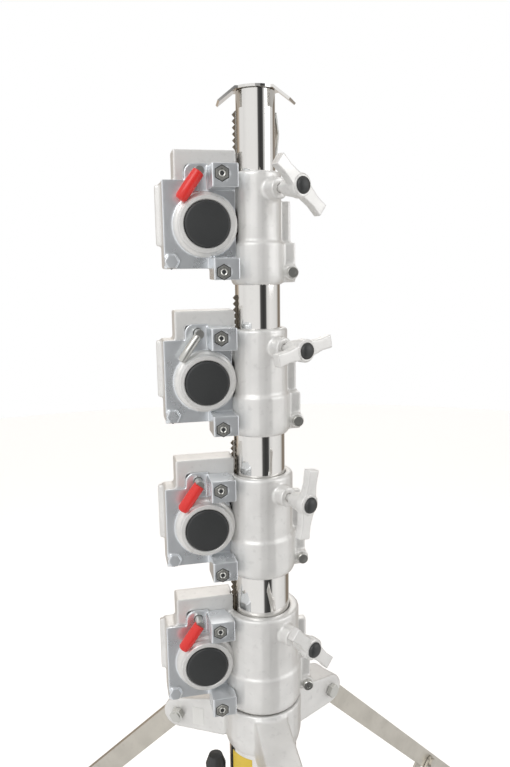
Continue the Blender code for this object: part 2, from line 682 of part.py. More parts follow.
def make_column():
    profile_out, profile_in = COLUMN_RADIUS, COLUMN_RADIUS - COLUMN_WALL
    low, high = COLUMN_FOOT + PLUG_LIP, gear_height(SECTIONS) + COLUMN_TOP
    profile = [(profile_in, low), (profile_out, low), (profile_out, high), (profile_in, high)]
    solid("column_tube", turned(profile, TUBE_SIDES), "chrome")
    lip = low - GAP
    inside = profile_in - GAP
    top = COLUMN_FOOT + PLUG_HEIGHT
    plug = [
        (0, COLUMN_FOOT), (profile_out, COLUMN_FOOT), (profile_out, lip),
        (inside, lip), (inside, top), (0, top),
    ]
    solid("column_plug", turned(plug, TUBE_SIDES), "black")


def hub_arm():
    """Side outline of an arm: (distance out, height)."""
    end = [(x, z) for x, z in arc(ARM_END + 4 * MM, -math.pi / 2, math.pi / 2, 8, (PIVOT_RADIUS, 0))]
    half = ARM_HEIGHT / 2
    return [(COLUMN_RADIUS + 2 * MM, -half + 2 * MM), *end, (COLUMN_RADIUS + 2 * MM, half + 10 * MM)]


def make_hub():
    """Ring casting under the lowest gearbox, with a slotted arm for each leg."""
    top = gear_height(SECTIONS) + COLLAR_BOTTOM - 1.0 * MM
    low = top - HUB_HEIGHT
    profile = [
        (COLUMN_RADIUS + GAP, low - 6 * MM), (HUB_RADIUS - 3 * MM, low - 6 * MM), (HUB_RADIUS, low + 8 * MM),
        (HUB_RADIUS, top), (COLUMN_RADIUS + GAP, top),
    ]
    hub = solid("leg_hub", turned(profile, TUBE_SIDES), "cast")
    half = ARM_WIDTH / 2
    slot = LEG_THICKNESS / 2 + 0.5 * MM
    for azimuth in LEG_AZIMUTHS:
        place = Matrix.Translation((0, 0, PIVOT_HEIGHT)) @ outward(azimuth)
        join(hub, moved(prism(hub_arm(), -half, half, "Y"), place))
    for azimuth in LEG_AZIMUTHS:
        place = Matrix.Translation((0, 0, PIVOT_HEIGHT)) @ outward(azimuth)
        swing = LEG_HEIGHT / 2 + 2 * MM
        room = [
            (PIVOT_RADIUS - swing, -60 * MM), (PIVOT_RADIUS + 40 * MM, -60 * MM),
            (PIVOT_RADIUS + 40 * MM, swing * 0.9), (PIVOT_RADIUS, swing), (PIVOT_RADIUS - swing, swing),
        ]
        cut(hub, moved(prism(room, -slot, slot, "Y"), place))
        hole = circle(PIVOT_BOLT + GAP, 14, (PIVOT_RADIUS, 0))
        cut(hub, moved(prism(hole, -40 * MM, 40 * MM, "Y"), place))
    return bake(hub)


def make_hub_bolts():
    """Pivot bolt of each leg, with its nut."""
    reach = ARM_WIDTH / 2 + GAP
    bolt = solid("leg_pivot_bolt", prism(circle(8.5 * MM, 6), -reach - 6 * MM, -reach, "Y"), "steel")
    join(bolt, prism(circle(PIVOT_BOLT, 14), -reach - 1 * MM, reach + 8 * MM, "Y"))
    join(bolt, prism(circle(8.5 * MM, 6), reach, reach + 7 * MM, "Y"))
    places = [
        outward(a) @ Matrix.Translation((PIVOT_RADIUS, 0, PIVOT_HEIGHT)) for a in LEG_AZIMUTHS
    ]
    copies(bake(bolt), [f"leg_pivot_bolt_{k}" for k in (1, 2, 3)], places)


def outward(azimuth):
    """Turns +X to the direction of an azimuth in degrees."""
    return Matrix.Rotation(math.radians(azimuth) - math.pi / 2, 4, "Z")


def leg_frame(azimuth):
    """X runs down along the leg, Z up across it, Y along its pivot."""
    place = outward(azimuth) @ Matrix.Translation((PIVOT_RADIUS, 0, PIVOT_HEIGHT))
    return place @ Matrix.Rotation(LEG_ANGLE, 4, "Y")


def leg_length():
    return (PIVOT_HEIGHT - LEG_END_HEIGHT) / math.sin(LEG_ANGLE)


def foot_distance():
    """From the column's axis to the middle of a foot."""
    return PIVOT_RADIUS + leg_length() * math.cos(LEG_ANGLE)


def make_legs():
    """Flat legs with a rounded top end, and an upright socket for the foot's stem."""
    half = LEG_HEIGHT / 2
    length = leg_length()
    body = arc(half, math.pi / 2, math.pi * 1.5, 8) + [(length + 6 * MM, -half), (length - 2 * MM, half)]
    leg = solid("leg", prism(body, -LEG_THICKNESS / 2, LEG_THICKNESS / 2, "Y"), "chrome")
    upright = Matrix.Translation((length, 0, 0)) @ Matrix.Rotation(-LEG_ANGLE, 4, "Y")
    join(leg, moved(prism(circle(13.0 * MM, 20), FOOT_HEIGHT + GAP - LEG_END_HEIGHT, 16 * MM), upright))
    cut(leg, prism(circle(PIVOT_BOLT + GAP, 14), -20 * MM, 20 * MM, "Y"))
    cut(leg, moved(prism(circle(STEM_RADIUS + GAP, 14), -40 * MM, 8 * MM), upright))
    hole = circle(PIVOT_BOLT, 12, (BRACE_LENGTH, 0))
    cut(leg, prism(hole, -20 * MM, 20 * MM, "Y"))
    bake(leg)
    copies(leg, ["leg_1", "leg_2", "leg_3"], [leg_frame(a) for a in LEG_AZIMUTHS])


def make_braces():
    """A pair of flat bars on one pin through the leg. At the spreader they straddle its ear."""
    length = BRACE_LENGTH
    half = BRACE_WIDTH / 2
    near = LEG_THICKNESS / 2 + 0.5 * MM
    far = near + BRACE_THICKNESS
    shape = arc(half, math.pi / 2, math.pi * 1.5, 8) + arc(half, -math.pi / 2, math.pi / 2, 8, (length, 0))
    brace = solid("brace", prism(shape, near, far, "Y"), "steel")
    join(brace, prism(shape, -far, -near, "Y"))
    join(brace, prism(circle(PIVOT_BOLT - GAP, 12), -far - 2 * MM, far + 2 * MM, "Y"))
    for side in (-1, 1):
        for centre in ((0, 0), (length, 0)):
            face = sorted((side * (far - 1 * MM), side * (far + 4 * MM)))
            join(brace, prism(circle(7.5 * MM, 6, centre), face[0], face[1], "Y"))
    bake(brace)
    # The leg's pivot, the brace's pivot and the spreader's pivot make an isosceles triangle.
    turn = Matrix.Rotation(math.pi - 2 * LEG_ANGLE, 4, "Y")
    places = [leg_frame(a) @ Matrix.Translation((BRACE_LENGTH, 0, 0)) @ turn for a in LEG_AZIMUTHS]
    copies(brace, ["brace_1", "brace_2", "brace_3"], places)


def make_spreader():
    """Collar that slides on the column, with an ear between each pair of braces."""
    height = PIVOT_HEIGHT - 2 * BRACE_LENGTH * math.sin(LEG_ANGLE)
    half = SPREADER_HEIGHT / 2
    inner = COLUMN_RADIUS + BORE_CLEARANCE
    outer = inner + SPREADER_WALL
    profile = [(inner, -half), (outer, -half), (outer, half), (inner, half)]
    spreader = solid("spreader_collar", turned(profile, TUBE_SIDES), "cast")
    end = arc(9 * MM, -math.pi / 2, math.pi / 2, 8, (PIVOT_RADIUS, 0))
    ear = [(inner + 2 * MM, -half + 2 * MM), *end, (inner + 2 * MM, half - 2 * MM)]
    for azimuth in LEG_AZIMUTHS:
        join(spreader, moved(prism(ear, -LEG_THICKNESS / 2, LEG_THICKNESS / 2, "Y"), outward(azimuth)))
    lock = pointing(SPREADER_LOCK_AZIMUTH, (0, 0, 0))
    join(spreader, moved(prism(circle(LOCK_BOSS_RADIUS, 12), inner + 2 * MM, outer + 10 * MM), lock))
    cut(spreader, moved(prism(circle(LOCK_THREAD + GAP, 12), inner - 5 * MM, outer + 20 * MM), lock))
    bake(spreader)
    spreader.location.z = height
    handle = make_handle()
    handle.name = "spreader_lock"
    reach = outer + 38.0 * MM
    join(handle, prism(circle(LOCK_THREAD, 12), -(reach - COLUMN_RADIUS - 1.0 * MM), -20.0 * MM))
    bake(handle)
    handle.matrix_world = pointing(SPREADER_LOCK_AZIMUTH, radial(SPREADER_LOCK_AZIMUTH, reach, height))


# Feet

def make_feet():
    """Rubber pads, each on a stem in its leg's upright socket."""
    base = FOOT_RADIUS
    profile = [
        (0, 0), (base - 2 * MM, 0), (base, 3 * MM), (base - 3 * MM, FOOT_HEIGHT), (STEM_RADIUS, FOOT_HEIGHT),
        (STEM_RADIUS, LEG_END_HEIGHT + 6 * MM), (0, LEG_END_HEIGHT + 6 * MM),
    ]
    foot = solid("foot", turned(profile, 24), "rubber")
    places = [outward(a) @ Matrix.Translation((foot_distance(), 0, 0)) for a in LEG_AZIMUTHS]
    copies(foot, ["foot_1", "foot_2", "foot_3"], places)


# Crank

def make_crank():
    """Removable crank held in a clip on the column, grip uppermost."""
    clear = COLUMN_RADIUS + CRANK_OFF_COLUMN
    place = radial(CRANK_AZIMUTH, clear, CRANK_TOP - GRIP_LENGTH)
    frame = Matrix.Translation(place) @ Matrix.Rotation(CRANK_AZIMUTH, 4, "Z")
    shaft = solid("crank_arm", prism(circle(CRANK_SHAFT, 14), -60 * MM, 0), "steel")
    arm = ((-9 * MM, 9 * MM), (-CRANK_SHAFT, -CRANK_SHAFT + 6 * MM), (-CRANK_ARM - 60 * MM, -52 * MM))
    join(shaft, block(*arm))
    hub = circle(12 * MM, 18, (0, -CRANK_ARM - 60 * MM))
    join(shaft, prism(hub, -CRANK_SHAFT - 16 * MM, -CRANK_SHAFT + 6 * MM, "Y"))
    drive = circle(HEX_DRIVE / math.sqrt(3) + GAP, 6, (0, -CRANK_ARM - 60 * MM))
    cut(shaft, prism(drive, -CRANK_SHAFT - 20 * MM, -CRANK_SHAFT, "Y"))
    join(shaft, prism(circle(4 * MM, 12), -5 * MM, GRIP_LENGTH - 8 * MM))
    bake(shaft).matrix_world = frame
    grip_profile = [
        (4 * MM + GAP, 1 * MM), (GRIP_RADIUS - 2 * MM, 1 * MM), (GRIP_RADIUS, 12 * MM),
        (GRIP_RADIUS - 1.5 * MM, GRIP_LENGTH * 0.5), (GRIP_RADIUS, GRIP_LENGTH - 12 * MM),
        (GRIP_RADIUS - 4 * MM, GRIP_LENGTH - 1 * MM), (0, GRIP_LENGTH), (0, GRIP_LENGTH - 7 * MM),
        (4 * MM + GAP, GRIP_LENGTH - 7 * MM),
    ]
    grip = solid("crank_grip", turned(grip_profile, 20), "black")
    grip.matrix_world = frame
    make_crank_clip()


def make_crank_clip():
    """Band round the column with a forked holder for the crank's shaft."""
    inner = COLUMN_RADIUS + GAP
    height = CRANK_TOP - GRIP_LENGTH - 30 * MM
    ring = [(inner, -7 * MM), (inner + 2.5 * MM, -7 * MM), (inner + 2.5 * MM, 7 * MM), (inner, 7 * MM)]
    clip = solid("crank_clip", turned(ring, TUBE_SIDES), "steel")
    turn = Matrix.Rotation(CRANK_AZIMUTH, 4, "Z")
    distance = COLUMN_RADIUS + CRANK_OFF_COLUMN
    holder = block((-12 * MM, 12 * MM), (-distance - 4 * MM, -inner - 1 * MM), (-7 * MM, 7 * MM))
    join(clip, moved(holder, turn))
    slot = prism(circle(CRANK_SHAFT + 0.5 * MM, 16, (0, -distance)), -20 * MM, 20 * MM)
    cut(clip, moved(slot, turn))
    opening = CRANK_SHAFT + 0.5 * MM
    mouth = block((-opening, opening), (-distance - 20 * MM, -distance), (-20 * MM, 20 * MM))
    cut(clip, moved(mouth, turn))
    bake(clip)
    clip.location.z = height


def build():
    for old in list(bpy.data.objects):
        bpy.data.objects.remove(old)
    sections = range(1, SECTIONS + 1)
    about_gear = [Matrix.Translation((gear_axis_x(s), 0, gear_height(s))) for s in sections]
    for section in sections:
        make_tube(section)
        make_rack(section)
        make_collar(section)
        make_ear_bolt(section)
        make_cover(section)
    make_handles()
    for maker, name in (
        (make_drive_gear, "drive_gear"), (make_cap, "dust_cap"),
        (make_pawl, "pawl_lever"),
    ):
        copies(maker(), [f"{name}_{s}" for s in sections], about_gear)
    make_head()
    make_spigot_sleeve()
    make_spigot_spring()
    make_column()
    make_hub()
    make_hub_bolts()
    make_legs()
    make_braces()
    make_spreader()
    make_feet()
    make_crank()
    stand = bpy.data.objects.new("stand", None)
    bpy.context.scene.collection.objects.link(stand)
    # Feet at 0, 120 and 240 degrees put the footprint's centre a quarter of their distance forward.
    stand.location.y = foot_distance() / 4
    for made in bpy.data.objects:
        if made.type == "MESH":
            made.parent = stand


build()
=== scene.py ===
"""Finish of the crank-up stand: castings, chrome tubes, caps, sleeves, nuts, light and camera."""

import json
import math

import bmesh
import bpy
from mathutils import Matrix, Vector


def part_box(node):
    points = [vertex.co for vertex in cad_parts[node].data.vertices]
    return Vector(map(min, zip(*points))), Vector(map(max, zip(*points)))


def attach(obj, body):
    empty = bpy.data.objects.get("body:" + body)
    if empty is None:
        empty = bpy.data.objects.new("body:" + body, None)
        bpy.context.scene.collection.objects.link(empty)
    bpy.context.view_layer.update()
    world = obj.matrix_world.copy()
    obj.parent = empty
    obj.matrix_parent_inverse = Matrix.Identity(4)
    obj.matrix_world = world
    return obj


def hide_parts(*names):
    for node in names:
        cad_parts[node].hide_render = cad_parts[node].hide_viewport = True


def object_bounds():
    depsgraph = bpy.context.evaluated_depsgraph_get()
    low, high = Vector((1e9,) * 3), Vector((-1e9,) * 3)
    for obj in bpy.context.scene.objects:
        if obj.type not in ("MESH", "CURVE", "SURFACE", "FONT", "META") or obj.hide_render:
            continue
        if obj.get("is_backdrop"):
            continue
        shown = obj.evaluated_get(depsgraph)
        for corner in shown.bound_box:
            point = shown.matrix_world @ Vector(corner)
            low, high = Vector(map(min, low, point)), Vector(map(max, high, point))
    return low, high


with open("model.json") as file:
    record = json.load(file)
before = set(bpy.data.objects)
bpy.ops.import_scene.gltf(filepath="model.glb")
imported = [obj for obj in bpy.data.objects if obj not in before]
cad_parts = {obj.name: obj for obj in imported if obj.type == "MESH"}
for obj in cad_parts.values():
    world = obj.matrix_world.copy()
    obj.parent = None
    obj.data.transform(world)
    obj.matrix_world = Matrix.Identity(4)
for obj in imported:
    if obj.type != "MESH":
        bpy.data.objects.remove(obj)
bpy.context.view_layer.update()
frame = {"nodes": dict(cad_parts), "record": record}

bl_info = {
    "name": "Crank-up stand finish",
    "version": (1, 0, 0),
    "blender": (4, 5, 0),
    "location": "View3D > Sidebar > Stand",
    "description": "Dresses a crank-up stand with its cast, chromed and moulded surfaces",
    "category": "Object",
}

MM = 0.001
SECTIONS = (1, 2, 3, 4)
BARE_LEVER = 2
PLATE_DEPTH = 27.0   # mm from a lug's front back to the cover's plate
NUT_PLACES = ((13.5, 46.8, 0), (13.5, -46.8, 0), (-35.2, -36.0, PLATE_DEPTH))   # x, z and depth, in mm
FINE, COARSE = 0.62, 1.15   # grids of the small and the large castings, as shares of the setting

# The label goes round the column; heights are in mm from the leg pivots, angles in degrees
LABEL_START, LABEL_STEP, LABEL_STEPS = -163, 3.5, 12
LABEL_LOW, LABEL_HIGH = 70, 25      # below the pivots
LEFT_ARM = 240
STICKER_NEAR, STICKER_FAR = 68, 82   # mm from the column's axis, along the arm
STICKER_LOW, STICKER_HIGH = 10, 12   # below and above the pivots
STICKER_OUT = 19.05                  # mm, the arm's side from its middle

CAMERA_YAW, CAMERA_PITCH = 12.39, 10.21        # degrees, to the right and down
CAMERA_ROLL = -0.013                           # radians
CAMERA_OFFSET = (-0.1585, -0.7033, -0.03735)   # metres, from the axis at the top cap's height
CAMERA_LENS = 31.68


def box(node):
    low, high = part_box(node)
    return Vector(low), Vector(high)


def middle(node):
    low, high = box(node)
    return (low + high) / 2


def body_of(node):
    for body, nodes in frame["record"]["behaviour"]["bodies"].items():
        if node in nodes:
            return body
    raise RuntimeError(f"{node} is on no body")


def node_object(node):
    source = frame["nodes"][node]
    return bpy.data.objects[source] if isinstance(source, str) else source


def joint(name):
    return next(j for j in frame["record"]["behaviour"]["joints"] if j["name"] == name)


AXIS = middle("column_tube")


class StandFinish(bpy.types.PropertyGroup):
    """Sizes and colours that a user would change."""

    voxel: bpy.props.FloatProperty(
        name="Casting detail", description="Size of the grid that rounds a casting's edges",
        default=0.0013, min=0.0008, max=0.004, precision=4, unit="LENGTH")
    rounding: bpy.props.IntProperty(
        name="Edge rounding", description="How many times a casting's surface is smoothed",
        default=7, min=0, max=30)
    sleeve: bpy.props.FloatVectorProperty(
        name="Sleeve colour", description="Colour of the soft sleeves on the levers",
        default=(0.78, 0.035, 0.03), size=3, subtype="COLOR", min=0, max=1)
    cast: bpy.props.FloatVectorProperty(
        name="Casting colour", description="Colour of the blasted castings",
        default=(0.83, 0.825, 0.81), size=3, subtype="COLOR", min=0, max=1)
    chrome: bpy.props.FloatVectorProperty(
        name="Chrome colour", description="Colour of the plated tubes",
        default=(0.80, 0.79, 0.77), size=3, subtype="COLOR", min=0, max=1)
    lamp: bpy.props.FloatProperty(
        name="Lamp power", description="Power of the large soft lamp",
        default=16.0, min=0, max=500, unit="POWER")


def settings():
    return bpy.context.scene.stand_finish


# Effects and materials

def surface_group():
    """Grain, blotches and grime as one group, in object coordinates."""
    name = "surface_wear"
    if name in bpy.data.node_groups:
        return bpy.data.node_groups[name]
    group = bpy.data.node_groups.new(name, "ShaderNodeTree")
    face = group.interface
    for label, kind, value in (
        ("Colour", "NodeSocketColor", (0.7, 0.7, 0.7, 1)),
        ("Grime Colour", "NodeSocketColor", (0.2, 0.19, 0.17, 1)),
        ("Roughness", "NodeSocketFloat", 0.4), ("Grain Scale", "NodeSocketFloat", 1200.0),
        ("Blotch", "NodeSocketFloat", 0.1), ("Grime", "NodeSocketFloat", 0.2),
    ):
        face.new_socket(label, in_out="INPUT", socket_type=kind).default_value = value
    results = (("Colour", "NodeSocketColor"), ("Roughness", "NodeSocketFloat"), ("Height", "NodeSocketFloat"))
    for label, kind in results:
        face.new_socket(label, in_out="OUTPUT", socket_type=kind)
    nodes, link = group.nodes, group.links.new
    given, out = nodes.new("NodeGroupInput"), nodes.new("NodeGroupOutput")
    place = nodes.new("ShaderNodeTexCoord")

    def noise(scale, detail, source=None):
        made = nodes.new("ShaderNodeTexNoise")
        made.inputs["Scale"].default_value = scale
        made.inputs["Detail"].default_value = detail
        link(place.outputs["Object"], made.inputs["Vector"])
        if source:
            link(source, made.inputs["Scale"])
        return made.outputs["Fac"]

    def ranged(value, low, high, to_low, to_high):
        made = nodes.new("ShaderNodeMapRange")
        limits = {"From Min": low, "From Max": high, "To Min": to_low, "To Max": to_high}
        for label, number in limits.items():
            made.inputs[label].default_value = number
        link(value, made.inputs["Value"])
        return made.outputs["Result"]

    def maths(kind, a, b):
        made = nodes.new("ShaderNodeMath")
        made.operation = kind
        for socket, value in zip(made.inputs, (a, b)):
            if isinstance(value, (int, float)):
                socket.default_value = value
            else:
                link(value, socket)
        return made.outputs[0]

    def mixed(amount, a, b, kind="MIX"):
        made = nodes.new("ShaderNodeMix")
        made.data_type, made.blend_type = "RGBA", kind
        link(amount, made.inputs[0])
        link(a, made.inputs[6])
        link(b, made.inputs[7])
        return made.outputs[2]

    grain = noise(1200.0, 4.0, given.outputs["Grain Scale"])
    blotches = noise(38.0, 5.0)
    spots = noise(140.0, 6.0)
    dark = maths("MULTIPLY", ranged(blotches, 0.35, 0.7, 0, 1), given.outputs["Blotch"])
    grimed = maths("MULTIPLY", ranged(spots, 0.58, 0.75, 0, 1), given.outputs["Grime"])
    base = mixed(dark, given.outputs["Colour"], given.outputs["Grime Colour"])
    link(mixed(grimed, base, given.outputs["Grime Colour"]), out.inputs["Colour"])
    rough = maths("ADD", given.outputs["Roughness"], ranged(blotches, 0.3, 0.7, -0.05, 0.06))
    link(rough, out.inputs["Roughness"])
    link(maths("ADD", grain, ranged(spots, 0.4, 0.7, 0, 0.5)), out.inputs["Height"])
    return group


FINISHES = {
    # metallic, roughness, grain scale, grain depth in mm, blotch, grime
    "blasted_casting": (0.45, 0.40, 1500.0, 0.05, 0.16, 0.22),
    "machined_face": (0.75, 0.30, 500.0, 0.004, 0.08, 0.08),
    "chromed_tube": (1.0, 0.045, 300.0, 0.0015, 0.04, 0.05),
    "zinc_plating": (0.95, 0.30, 900.0, 0.01, 0.12, 0.15),
    "rack_steel": (0.8, 0.42, 900.0, 0.02, 0.35, 0.4),
    "black_moulding_and_painted_shade": (0.0, 0.42, 1800.0, 0.02, 0.0, 0.05),
    "red_sleeve": (0.0, 0.30, 600.0, 0.015, 0.05, 0.04),
    "rubber_pad": (0.0, 0.75, 900.0, 0.05, 0.0, 0.15),
    "plated_leg": (0.9, 0.33, 500.0, 0.012, 0.18, 0.16),
    "yellow_label": (0.0, 0.38, 700.0, 0.004, 0.05, 0.10),
    "white_sticker": (0.0, 0.45, 700.0, 0.004, 0.04, 0.10),
}
FIXED_COLOURS = {
    "rack_steel": (0.26, 0.225, 0.18), "machined_face": (0.80, 0.83, 0.86),
    # black_moulding_and_painted_shade is the own black of the caps, plugs and grips, and also the colour of
    # the painted shade round the cover nuts
    "zinc_plating": (0.62, 0.62, 0.59), "black_moulding_and_painted_shade": (0.035, 0.037, 0.038),
    "yellow_label": (0.78, 0.56, 0.06), "white_sticker": (0.86, 0.86, 0.84),
    "rubber_pad": (0.02, 0.02, 0.02), "plated_leg": (0.60, 0.57, 0.51),
}


def finish(name):
    """One material of the table, with the shared surface group in it."""
    if name in bpy.data.materials:
        return bpy.data.materials[name]
    chosen = settings()
    colours = dict(
        FIXED_COLOURS, blasted_casting=chosen.cast, chromed_tube=chosen.chrome, red_sleeve=chosen.sleeve)
    metallic, rough, scale, depth, blotch, grime = FINISHES[name]
    made = bpy.data.materials.new(name)
    made.use_nodes = True
    nodes, link = made.node_tree.nodes, made.node_tree.links.new
    shader = nodes["Principled BSDF"]
    shader.inputs["Metallic"].default_value = metallic
    group = nodes.new("ShaderNodeGroup")
    group.node_tree = surface_group()
    colour = tuple(colours[name])
    values = {
        "Colour": (*colour, 1), "Grime Colour": (*(0.45 * c for c in colour), 1), "Roughness": rough,
        "Grain Scale": scale, "Blotch": blotch, "Grime": grime,
    }
    for label, value in values.items():
        group.inputs[label].default_value = value
    bump = nodes.new("ShaderNodeBump")
    bump.inputs["Distance"].default_value = depth * MM
    bump.inputs["Strength"].default_value = 1.0
    link(group.outputs["Colour"], shader.inputs["Base Color"])
    link(group.outputs["Roughness"], shader.inputs["Roughness"])
    link(group.outputs["Height"], bump.inputs["Height"])
    link(bump.outputs["Normal"], shader.inputs["Normal"])
    return made


def piece(name, shape, surface, body, replaced=()):
    """A finished object from a bmesh, riding on a body."""
    bmesh.ops.remove_doubles(shape, verts=shape.verts[:], dist=1e-7)
    bmesh.ops.recalc_face_normals(shape, faces=shape.faces[:])
    mesh = bpy.data.meshes.new(name)
    shape.to_mesh(mesh)
    shape.free()
    mesh.materials.append(finish(surface))
    mesh.shade_smooth()
    mesh.set_sharp_from_angle(angle=math.radians(38))
    made = bpy.data.objects.new(name, mesh)
    bpy.context.scene.collection.objects.link(made)
    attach(made, body)
    if replaced:
        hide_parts(*replaced)
    return made


def turned(profile, sides=96, closed=False):
    """Spins (radius, height) points about Z."""
    shape = bmesh.new()
    verts = [shape.verts.new((radius, 0, height)) for radius, height in profile]
    pairs = list(zip(verts, verts[1:])) + ([(verts[-1], verts[0])] if closed else [])
    edges = [shape.edges.new(pair) for pair in pairs]
    bmesh.ops.spin(
        shape, geom=verts + edges, cent=(0, 0, 0), axis=(0, 0, 1), angle=2 * math.pi,
        steps=sides, use_merge=True)
    bmesh.ops.remove_doubles(shape, verts=shape.verts[:], dist=1e-7)
    return shape


def placed(shape, matrix):
    bmesh.ops.transform(shape, matrix=matrix, verts=shape.verts[:])
    return shape


def facing(direction, origin):
    """Carries +Z to a direction, from an origin."""
    turn = Vector(direction).to_track_quat("Z", "Y").to_matrix().to_4x4()
    return Matrix.Translation(origin) @ turn


def joined(shapes):
    whole = bmesh.new()
    for shape in shapes:
        mesh = bpy.data.meshes.new("part")
        shape.to_mesh(mesh)
        shape.free()
        whole.from_mesh(mesh)
        bpy.data.meshes.remove(mesh)
    return whole


def prism(sides, radius, low, high):
    """An upright prism."""
    shape = bmesh.new()
    bmesh.ops.create_cone(
        shape, cap_ends=True, segments=sides, radius1=radius, radius2=radius, depth=high - low,
        matrix=Matrix.Translation((0, 0, (low + high) / 2)))
    return shape


# Pieces

def casting(node, surface, voxel):
    """A node's shape with the soft edges and fillets of a casting."""
    shape = bmesh.new()
    shape.from_mesh(node_object(node).data)
    made = piece(f"{node}_finished", shape, surface, body_of(node), (node,))
    remesh = made.modifiers.new("grid", "REMESH")
    remesh.mode = "VOXEL"
    remesh.voxel_size = voxel
    remesh.use_smooth_shade = True
    smooth = made.modifiers.new("soften", "SMOOTH")
    smooth.factor = 0.5
    smooth.iterations = settings().rounding
    mesh = bpy.data.meshes.new_from_object(made.evaluated_get(bpy.context.evaluated_depsgraph_get()))
    made.modifiers.clear()
    made.data = mesh
    mesh.shade_smooth()
    if not mesh.materials:
        mesh.materials.append(finish(surface))
    return made


class STAND_OT_castings(bpy.types.Operator):
    """Round the edges of every casting"""

    bl_idname = "stand.castings"
    bl_label = "Castings"

    def execute(self, context):
        voxel = settings().voxel
        for section in SECTIONS:
            casting(f"collar_{section}", "blasted_casting", voxel)
            casting(f"gear_cover_{section}", "machined_face", voxel * FINE)
            casting(f"lock_handle_{section}", "blasted_casting", voxel * FINE)
        casting("spreader_lock", "blasted_casting", voxel * FINE)
        casting("leg_hub", "blasted_casting", voxel * COARSE)
        casting("spreader_collar", "blasted_casting", voxel * COARSE)
        return {"FINISHED"}


def tube_shape(outer, inner, low, high):
    edge = 0.5 * MM
    return turned([
        (inner, low + edge), (inner + edge, low), (outer - edge, low), (outer, low + edge),
        (outer, high - edge), (outer - edge, high), (inner + edge, high), (inner, high - edge),
    ], 128, closed=True)


class STAND_OT_tubes(bpy.types.Operator):
    """Chrome tubes, round and with broken edges"""

    bl_idname = "stand.tubes"
    bl_label = "Chrome tubes"

    def execute(self, context):
        for node, wall in (("riser_tube_1", 1.8), ("riser_tube_2", 1.8), ("riser_tube_3", 1.8),
                           ("riser_tube_4", 1.8), ("column_tube", 3.0)):
            low, high = box(node)
            outer = (high.x - low.x) / 2 if node in ("riser_tube_1", "column_tube") else high.x
            shape = tube_shape(outer, outer - wall * MM, low.z, high.z)
            if node not in ("riser_tube_1", "column_tube"):
                self.slot_out(shape, node, outer)
            made = piece(f"{node}_chrome", placed(shape, Matrix.Translation((AXIS.x, AXIS.y, 0))),
                         "chromed_tube", body_of(node), (node,))
            self.round_normals(made.data)
        return {"FINISHED"}

    @staticmethod
    def round_normals(mesh):
        """True round normals on the walls, so that a slot leaves no streaks in the chrome."""
        normals = [None] * len(mesh.loops)
        for face in mesh.polygons:
            out = face.center - AXIS
            out.z = 0
            side = face.normal.dot(out.normalized())
            for index in face.loop_indices:
                normal = face.normal.copy()
                if abs(side) > 0.95:
                    normal = mesh.vertices[mesh.loops[index].vertex_index].co - AXIS
                    normal.z = 0
                    normal = normal.normalized() * math.copysign(1, side)
                normals[index] = normal
        mesh.normals_split_custom_set(normals)

    @staticmethod
    def slot_out(shape, node, outer):
        """Opens the lengthwise slot where the rack of the next tube in runs."""
        inside = f"rack_{int(node[-1]) - 1}"
        low, high = box(inside)
        near, far = low.y - AXIS.y - MM, high.y - AXIS.y + MM
        for place, side in ((near, 1), (far, -1)):
            geom = shape.verts[:] + shape.edges[:] + shape.faces[:]
            bmesh.ops.bisect_plane(
                shape, geom=geom, dist=1e-7, plane_co=(0, place, 0), plane_no=(0, side, 0))
        gone = []
        for face in shape.faces:
            centre = face.calc_center_median()
            if centre.x < 0 and near < centre.y < far:
                gone.append(face)
        bmesh.ops.delete(shape, geom=gone, context="FACES")
        rims = [edge for edge in shape.edges if edge.is_boundary]
        bmesh.ops.holes_fill(shape, edges=rims, sides=0)


class STAND_OT_caps(bpy.types.Operator):
    """Black dust caps with a turned rim and a shallow dome"""

    bl_idname = "stand.caps"
    bl_label = "Dust caps"

    def execute(self, context):
        for section in SECTIONS:
            node = f"dust_cap_{section}"
            low, high = box(node)
            radius, depth = (high.z - low.z) / 2, high.y - low.y
            profile = [
                (radius - 3 * MM, 0), (radius, 0), (radius, depth - 2.2 * MM),
                (radius - 0.4 * MM, depth - 1.3 * MM),
                (radius - 1.2 * MM, depth - 0.7 * MM), (radius - 2.4 * MM, depth - 0.6 * MM),
                (radius * 0.5, depth - 0.2 * MM), (0, depth),
            ]
            place = facing((0, -1, 0), ((low.x + high.x) / 2, high.y, (low.z + high.z) / 2))
            shape = placed(turned([(0, 0), *profile]), place)
            piece(f"cap_{section}", shape, "black_moulding_and_painted_shade", body_of(node), (node,))
        return {"FINISHED"}


def lever_line(section):
    """The pivot and the direction of a lever, from its joint and its box."""
    pivot = Vector(joint(f"lever_{section}_release")["pos_m"])
    low = box(f"pawl_lever_{section}")[0]
    front = low.y + 3.6 * MM
    start = Vector((pivot.x, front, pivot.z))
    tip = Vector((low.x + 3.0 * MM, front, low.z + 2.2 * MM))
    return start, tip


class STAND_OT_levers(bpy.types.Operator):
    """Soft sleeves on the levers; the second one is bare"""

    bl_idname = "stand.levers"
    bl_label = "Lever sleeves"

    def execute(self, context):
        for section in SECTIONS:
            start, tip = lever_line(section)
            along = tip - start
            length = along.length
            bare = section == BARE_LEVER
            radius = (4.2 if bare else 6.1) * MM
            begin = length * (0.05 if bare else 0.02)
            profile = [
                (0, begin), (radius - 0.8 * MM, begin), (radius, begin + 0.8 * MM),
                (radius * 1.04, length * 0.6), (radius, length - 2 * MM), (radius - 1.2 * MM, length),
                (radius * 0.5, length + 0.8 * MM), (0, length + MM),
            ]
            shape = placed(turned(profile, 40), facing(along, start))
            surface = "zinc_plating" if bare else "red_sleeve"
            piece(f"lever_sleeve_{section}", shape, surface, body_of(f"pawl_lever_{section}"))
        return {"FINISHED"}


